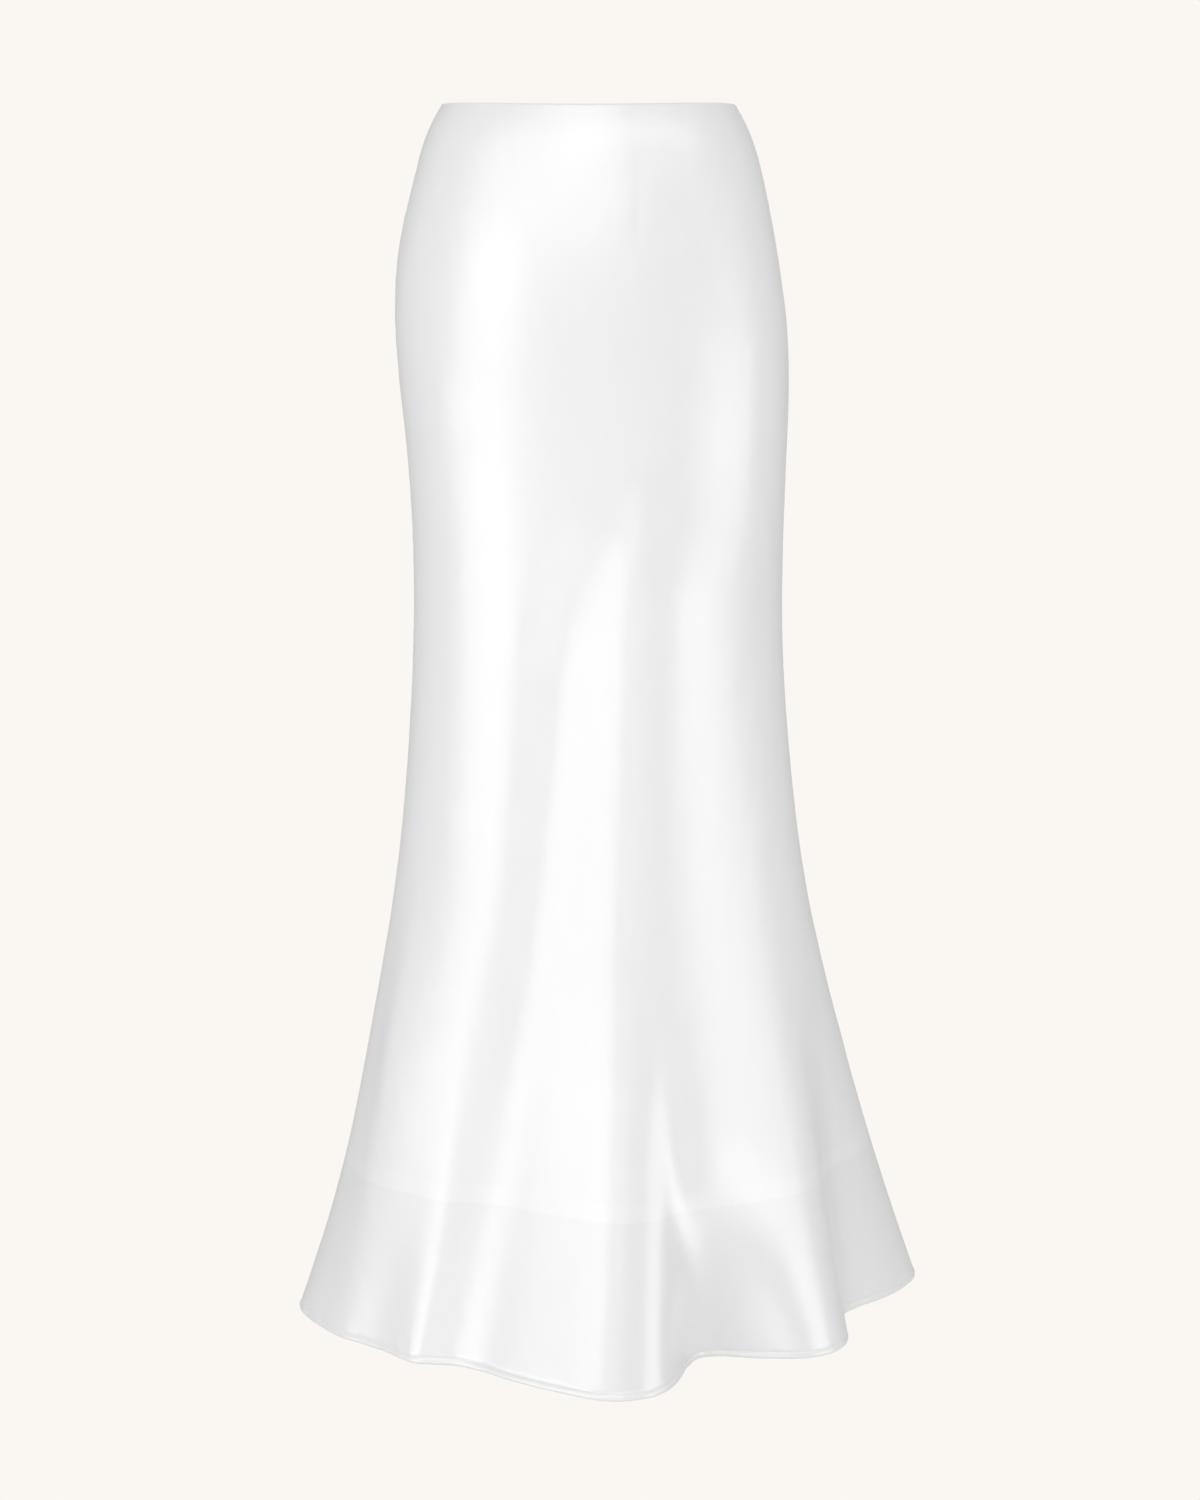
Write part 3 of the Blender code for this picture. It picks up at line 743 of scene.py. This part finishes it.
# ---------------------------------------------------------------- materials

class Nodes:
    """A material's node tree, with short ways to add and join nodes."""

    def __init__(self, name, roughness, colour=(0.88, 0.88, 0.88)):
        self.material = bpy.data.materials.new(name)
        self.material.use_nodes = True
        self.tree = self.material.node_tree
        self.shader = self.tree.nodes["Principled BSDF"]
        self.shader.inputs["Roughness"].default_value = roughness
        self.shader.inputs["Base Color"].default_value = (*colour, 1)

    def add(self, kind, **settings):
        node = self.tree.nodes.new("ShaderNode" + kind)
        for key, value in settings.items():
            setattr(node, key, value)
        return node

    def join(self, source, target):
        self.tree.links.new(source, target)

    def put(self, given, socket):
        if isinstance(given, (int, float)):
            socket.default_value = given
        else:
            self.join(given, socket)

    def math(self, operation, first, second=0.0):
        node = self.add("Math", operation=operation)
        self.put(first, node.inputs[0])
        self.put(second, node.inputs[1])
        return node.outputs[0]

    def cloth_place(self, turn=0.0, stretch=(1, 1, 1)):
        """Coordinates on the flat cloth in metres, turned by degrees and stretched."""
        mapping = self.add("Mapping")
        mapping.inputs["Rotation"].default_value = (0, 0, math.radians(turn))
        mapping.inputs["Scale"].default_value = stretch
        self.join(self.add("UVMap", uv_map="cloth").outputs["UV"], mapping.inputs["Vector"])
        return mapping.outputs[0]

    def object_place(self):
        return self.add("TexCoord").outputs["Object"]

    def noise(self, vector, scale, detail=2.0):
        node = self.add("TexNoise")
        node.inputs["Scale"].default_value = scale
        node.inputs["Detail"].default_value = detail
        self.join(vector, node.inputs["Vector"])
        return node.outputs[0]

    def threads(self, vector, pitch, axis="X"):
        """A rounded wave from 0 to 1 across threads a pitch apart, in metres."""
        split = self.add("SeparateXYZ")
        self.join(vector, split.inputs[0])
        wave = self.math("SINE", self.math("MULTIPLY", split.outputs[axis], 2 * math.pi / pitch))
        return self.math("MULTIPLY", self.math("ADD", wave, 1.0), 0.5)

    def spread(self, value, low, high, from_low=0.3, from_high=0.7):
        node = self.add("MapRange")
        node.inputs["From Min"].default_value = from_low
        node.inputs["From Max"].default_value = from_high
        node.inputs["To Min"].default_value = low
        node.inputs["To Max"].default_value = high
        self.join(value, node.inputs["Value"])
        return node.outputs[0]

    def tint(self, factor, first, second):
        node = self.add("Mix", data_type="RGBA")
        self.put(factor, node.inputs[0])
        for socket, colour in ((node.inputs[6], first), (node.inputs[7], second)):
            if isinstance(colour, tuple):
                socket.default_value = (*colour, 1)
            else:
                self.join(colour, socket)
        return node.outputs[2]

    def weave(self, turn, pitch, other_pitch):
        """Threads both ways on the cloth, turned by degrees, from 0 to 1."""
        first = self.threads(self.cloth_place(turn), pitch)
        return self.math("MULTIPLY", first, self.threads(self.cloth_place(turn), other_pitch, "Y"))

    def vary_colour(self, noise, first, second):
        tinted = self.tint(self.spread(noise, 0.0, 1.0), first, second)
        self.join(tinted, self.shader.inputs["Base Color"])

    def vary_roughness(self, noise, low, high, *noise_range):
        self.join(self.spread(noise, low, high, *noise_range), self.shader.inputs["Roughness"])

    def bump(self, height, depth, after=None):
        """Bumps of a depth in metres over a height from 0 to 1."""
        node = self.add("Bump")
        node.inputs["Distance"].default_value = depth
        self.join(height, node.inputs["Height"])
        if after is not None:
            self.join(after, node.inputs["Normal"])
        self.join(node.outputs[0], self.shader.inputs["Normal"])
        return node.outputs[0]


# The satin's colours paint the lining seen through the thin cloth: painted shade below the lining's
# hem, painted light over its turned hem
SATIN_PAINTED_SHADE_UNLINED = (0.872, 0.872, 0.872)             # painted shade: darker below the lining's hem, where no lining shows through the satin
SATIN_ON_LINING = (0.896, 0.896, 0.896)
SATIN_PAINTED_LIGHT_OVER_TURNED_HEM = (0.906, 0.906, 0.906)     # painted light: brighter where the lining's double turned hem shows through
TURNED_HEM_TOP = 14.2 * MM                      # above the lining's hem
HEM_LINE_BLUR = 0.8 * MM                        # each way


def from_height(m, z, height):
    """0 below a height of the skirt and 1 above it."""
    return m.spread(z, 0.0, 1.0, height - HEM_LINE_BLUR, height + HEM_LINE_BLUR)


def satin_material():
    """Charmeuse: long floats on the bias and faint slubs. Painted shade darkens it below the
    lining's hem and painted light brightens it over the lining's turned hem.
    """
    m = Nodes("satin_face", 0.3)
    m.shader.inputs["IOR"].default_value = 1.9
    m.shader.inputs["Specular IOR Level"].default_value = 1.0
    split = m.add("SeparateXYZ")
    m.join(m.object_place(), split.inputs[0])
    # The lining's show-through is painted into the base colour by height: painted shade below its
    # hem, painted light over its turned hem
    lining_show_through_mask = from_height(m, split.outputs["Z"], -LINING_LENGTH)
    above_turned_hem = from_height(m, split.outputs["Z"], -LINING_LENGTH + TURNED_HEM_TOP)
    painted_hem_light_colour = m.tint(above_turned_hem, SATIN_PAINTED_LIGHT_OVER_TURNED_HEM, SATIN_ON_LINING)
    cloth = m.tint(lining_show_through_mask, SATIN_PAINTED_SHADE_UNLINED, painted_hem_light_colour)
    cloud = m.noise(m.cloth_place(45, (1, 0.35, 1)), 70, 3)
    shaded = m.add("Mix", data_type="RGBA", blend_type="MULTIPLY")
    shaded.inputs[0].default_value = 1.0
    m.join(cloth, shaded.inputs[6])
    m.join(m.tint(m.spread(cloud, 0.0, 1.0), (0.985, 0.985, 0.988), (1.0, 1.0, 1.0)),
           shaded.inputs[7])
    m.join(shaded.outputs[2], m.shader.inputs["Base Color"])
    slubs = m.noise(m.cloth_place(45, (1, 0.15, 1)), 500, 2)
    cross_slubs = m.noise(m.cloth_place(-45, (1, 0.2, 1)), 420, 2)
    m.vary_roughness(m.math("ADD", slubs, cloud), 0.285, 0.325, 0.7, 1.3)
    bumped = m.bump(m.weave(45, 0.42 * MM, 1.7 * MM), 0.005 * MM)
    bumped = m.bump(slubs, 0.03 * MM, bumped)
    bumped = m.bump(cross_slubs, 0.02 * MM, bumped)
    m.bump(cloud, 0.15 * MM, bumped)
    return m.material


def satin_inside_material():
    """The satin's matt back."""
    m = Nodes("satin_back", 0.62, (0.86, 0.86, 0.86))
    m.shader.inputs["Sheen Weight"].default_value = 0.1
    bumped = m.bump(m.weave(45, 0.6 * MM, 0.6 * MM), 0.02 * MM)
    m.bump(m.noise(m.cloth_place(45, (1, 0.1, 1)), 800), 0.06 * MM, bumped)
    return m.material


def lining_material():
    """Thin plain weave with a soft sheen."""
    m = Nodes("lining_cloth", 0.5)
    m.shader.inputs["Sheen Weight"].default_value = 0.15
    cloud = m.noise(m.cloth_place(0, (1, 0.5, 1)), 60, 3)
    m.vary_colour(cloud, (0.80, 0.79, 0.775), (0.83, 0.82, 0.805))
    m.vary_roughness(cloud, 0.44, 0.56)
    bumped = m.bump(m.weave(0, 0.5 * MM, 0.5 * MM), 0.03 * MM)
    m.bump(m.noise(m.cloth_place(0, (1, 0.06, 1)), 900), 0.08 * MM, bumped)
    return m.material


def tape_material():
    """Woven tape with a fine herringbone."""
    m = Nodes("tape_cloth", 0.7)
    leaning = m.threads(m.cloth_place(35), 0.9 * MM)
    other = m.threads(m.cloth_place(-35), 0.9 * MM)
    columns = m.math("GREATER_THAN", m.threads(m.cloth_place(), 3.4 * MM), 0.5)
    rib = m.math("ADD", m.math("MULTIPLY", leaning, columns),
                 m.math("MULTIPLY", other, m.math("SUBTRACT", 1.0, columns)))
    m.join(m.tint(rib, (0.76, 0.76, 0.75), (0.86, 0.86, 0.85)), m.shader.inputs["Base Color"])
    m.bump(m.noise(m.cloth_place(), 1500), 0.04 * MM, m.bump(rib, 0.09 * MM))
    return m.material


def coil_material():
    """White nylon, a little see-through and glossy."""
    m = Nodes("coil_nylon", 0.35)
    m.shader.inputs["Subsurface Weight"].default_value = 0.15
    m.shader.inputs["Subsurface Scale"].default_value = 0.6 * MM
    speck = m.noise(m.object_place(), 900, 3)
    m.vary_colour(speck, (0.80, 0.80, 0.79), (0.86, 0.86, 0.85))
    m.vary_roughness(speck, 0.28, 0.42)
    m.bump(speck, 0.02 * MM)
    return m.material


def thread_material():
    """Twisted polyester thread."""
    m = Nodes("thread", 0.5)
    fuzz = m.noise(m.object_place(), 2500, 2)
    m.vary_colour(fuzz, (0.84, 0.84, 0.835), (0.9, 0.9, 0.895))
    twist = m.threads(m.object_place(), 0.3 * MM, "Z")
    m.bump(fuzz, 0.03 * MM, m.bump(twist, 0.02 * MM))
    return m.material


def metal_material():
    """White enamel over zinc, with faint handling smudges."""
    m = Nodes("zip_enamel", 0.3)
    m.shader.inputs["Coat Weight"].default_value = 0.4
    m.shader.inputs["Coat Roughness"].default_value = 0.12
    smudge = m.noise(m.object_place(), 300, 3)
    m.vary_colour(smudge, (0.79, 0.79, 0.785), (0.83, 0.83, 0.825))
    m.vary_roughness(smudge, 0.26, 0.38)
    m.bump(smudge, 0.01 * MM)
    return m.material


# ---------------------------------------------------------------- light, floor and camera

CREAM = (0.956, 0.930, 0.888)                   # backdrop and floor
AMBIENT = 0.635                                 # soft light from all round
AMBIENT_BEHIND = 0.43                           # the same at the end of the room behind the skirt
FLOOR_DROP = 0.75                               # below the hem
FLOOR_SIZE = 14
FLOOR_FADE = 4.0                                # its light falls over this length behind the skirt
CAMERA_PLACE = (0.0095, -2.44, -0.143)
CAMERA_TILT = 9.597                             # degrees down
CAMERA_LENS = 67.43
SENSOR_HEIGHT = 36
LIGHT_DISTANCE = 3                              # from the skirt's axis
COOL = (0.985, 0.992, 1.0)
NEUTRAL = (1.0, 1.0, 1.0)
WARM = (1.0, 0.994, 0.985)


def make_world():
    world = bpy.data.worlds.new("studio")
    bpy.context.scene.world = world
    world.use_nodes = True
    tree = world.node_tree
    background = tree.nodes["Background"]
    background.inputs["Color"].default_value = (1, 1, 1, 1)
    apart = tree.nodes.new("ShaderNodeSeparateXYZ")
    tree.links.new(tree.nodes.new("ShaderNodeTexCoord").outputs["Generated"], apart.inputs[0])
    fall = tree.nodes.new("ShaderNodeMapRange")
    fall.interpolation_type = "SMOOTHSTEP"
    fall.inputs["To Min"].default_value = AMBIENT
    fall.inputs["To Max"].default_value = AMBIENT_BEHIND
    tree.links.new(apart.outputs["Y"], fall.inputs["Value"])
    tree.links.new(fall.outputs["Result"], background.inputs["Strength"])
    backdrop = tree.nodes.new("ShaderNodeBackground")
    backdrop.inputs["Color"].default_value = (*CREAM, 1)
    path = tree.nodes.new("ShaderNodeLightPath")
    mix = tree.nodes.new("ShaderNodeMixShader")
    tree.links.new(path.outputs["Is Camera Ray"], mix.inputs[0])
    tree.links.new(background.outputs[0], mix.inputs[1])
    tree.links.new(backdrop.outputs[0], mix.inputs[2])
    tree.links.new(mix.outputs[0], tree.nodes["World Output"].inputs[0])


# Soft lights stand round the skirt's axis and face it: azimuth of the middle from the front
# towards +X, height of the middle, size and watts
Light = namedtuple("Light", "name azimuth height width tall watts colour")
LIGHTS = (
    Light("top", -8, 2.7, 2.4, 0.7, 8.0, NEUTRAL),
    Light("overhead_left", -35, 1.6, 2.1, 0.7, 3.0, COOL),
    Light("overhead_middle", 5, 1.6, 2.1, 0.7, 5.8, NEUTRAL),
    Light("overhead_right", 45, 1.6, 2.1, 0.7, 4.6, NEUTRAL),
    Light("upper_left", -45, 0.9, 2.1, 0.7, 2.8, COOL),
    Light("upper_middle", -5, 0.9, 2.1, 0.7, 5.0, NEUTRAL),
    Light("key_upper", -40, 0.2, 1.55, 0.7, 4.8, NEUTRAL),
    Light("key_middle", -45, -0.5, 2.1, 0.7, 3.2, NEUTRAL),
    Light("key_lower", -55, -1.2, 2.1, 0.7, 8.6, NEUTRAL),
    Light("front", -10, 0.2, 1.55, 0.7, 0.8, NEUTRAL),
    Light("front_low", 0, -1.2, 2.6, 0.7, 5.4, NEUTRAL),
    Light("right_upper", 70, 0.2, 1.55, 0.7, 1.4, NEUTRAL),
    Light("right_middle", 65, -0.5, 2.1, 0.7, 4.0, WARM),
    Light("right_lower", 62, -1.2, 1.55, 0.7, 4.6, WARM),
    Light("right_low", 56, -1.9, 1.55, 0.7, 5.0, WARM),
    Light("back", 176, -0.1, 1.2, 2.2, 13.0, NEUTRAL),
    Light("back_overhead", 180, 1.6, 3.0, 0.7, 14.0, NEUTRAL),
)


def make_lights():
    for row in LIGHTS:
        light = bpy.data.lights.new(row.name, "AREA")
        light.shape = "RECTANGLE"
        light.size = row.width
        light.size_y = row.tall
        light.energy = row.watts
        light.color = row.colour
        obj = bpy.data.objects.new(row.name, light)
        bpy.context.scene.collection.objects.link(obj)
        around = math.radians(row.azimuth)
        obj.location = (LIGHT_DISTANCE * math.sin(around), -LIGHT_DISTANCE * math.cos(around),
                        row.height)
        obj.rotation_euler = (math.radians(90), 0, around)
        obj.visible_camera = False


def make_camera():
    camera = bpy.data.cameras.new("camera")
    camera.sensor_fit = "VERTICAL"
    camera.sensor_height = SENSOR_HEIGHT
    camera.lens = CAMERA_LENS
    obj = bpy.data.objects.new("camera", camera)
    obj.location = CAMERA_PLACE
    obj.rotation_euler = (math.radians(90 - CAMERA_TILT), 0, 0)
    bpy.context.scene.collection.objects.link(obj)
    bpy.context.scene.camera = obj


def make_floor():
    """A seamless pale sweep: the floor has the backdrop's cream and gives the same soft light."""
    bpy.ops.mesh.primitive_plane_add(size=FLOOR_SIZE, location=(0, 0, -LENGTH - FLOOR_DROP))
    floor = bpy.context.object
    floor.name = "studio_floor"
    m = Nodes("studio_floor", 1.0, CREAM)
    path = m.add("LightPath")
    glow = m.add("Emission")
    away = m.add("SeparateXYZ")
    m.join(m.object_place(), away.inputs[0])
    near, far = (AMBIENT,) * 3, (AMBIENT_BEHIND,) * 3
    room = m.tint(m.spread(away.outputs["Y"], 0.0, 1.0, 0.0, FLOOR_FADE), near, far)
    m.join(m.tint(path.outputs["Is Camera Ray"], room, CREAM), glow.inputs["Color"])
    m.join(glow.outputs[0], m.tree.nodes["Material Output"].inputs["Surface"])
    floor.data.materials.append(m.material)


# ---------------------------------------------------------------- the skirt

def place(piece, body, slot, *materials):
    """Gives a piece its materials and its CAD body; the slot is not used."""
    for material in materials:
        piece.data.materials.append(material)
    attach(piece, body)
    return piece


make_world()
make_lights()
make_camera()
make_floor()
bpy.context.scene.view_settings.view_transform = "Standard"

satin, satin_inside, lining = satin_material(), satin_inside_material(), lining_material()
tape, thread, enamel = tape_material(), thread_material(), metal_material()

shell = make_shell()
for piece, node in zip(shell, ("front_panel", "back_panel_left", "back_panel_right")):
    place(piece, "skirt", "satin", satin, satin_inside)
    thicken(piece, SHELL_THICKNESS, 1)
    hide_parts(node)
lining_panels = make_lining()
for piece, node in zip(lining_panels, ("lining_front", "lining_back_left", "lining_back_right")):
    place(piece, "skirt", "lining", lining)
    thicken(piece, LINING_THICKNESS)
    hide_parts(node)
tapes = [make_tape("zip_tape_left_cloth", -1), make_tape("zip_tape_right_cloth", 1)]
for piece, node in zip(tapes, ("zip_tape_left", "zip_tape_right")):
    place(piece, "skirt", "zip_tape", tape)
    thicken(piece, TAPE_THICKNESS)
    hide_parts(node)
coil = place(make_coil(), "skirt", "zip_coil", coil_material())
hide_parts("zip_coil")
placing = pin_placing()
slider = place(make_slider(placing), "skirt", "zip_metal", enamel)
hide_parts("zip_slider")
pull = place(make_pull(placing), "pull", "zip_metal", enamel)
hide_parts("zip_pull")

hem_stitches = [
    place(level_stitches(HEM_STITCHING, name, span), "skirt", "satin", thread)
    for name, span in SPANS.items()
]
lining_stitches = [
    place(level_stitches(line, name, span), "skirt", "lining", thread)
    for name, span in SPANS.items() for line in (LINING_HEM_STITCHING, LINING_TOP_STITCHING)
]
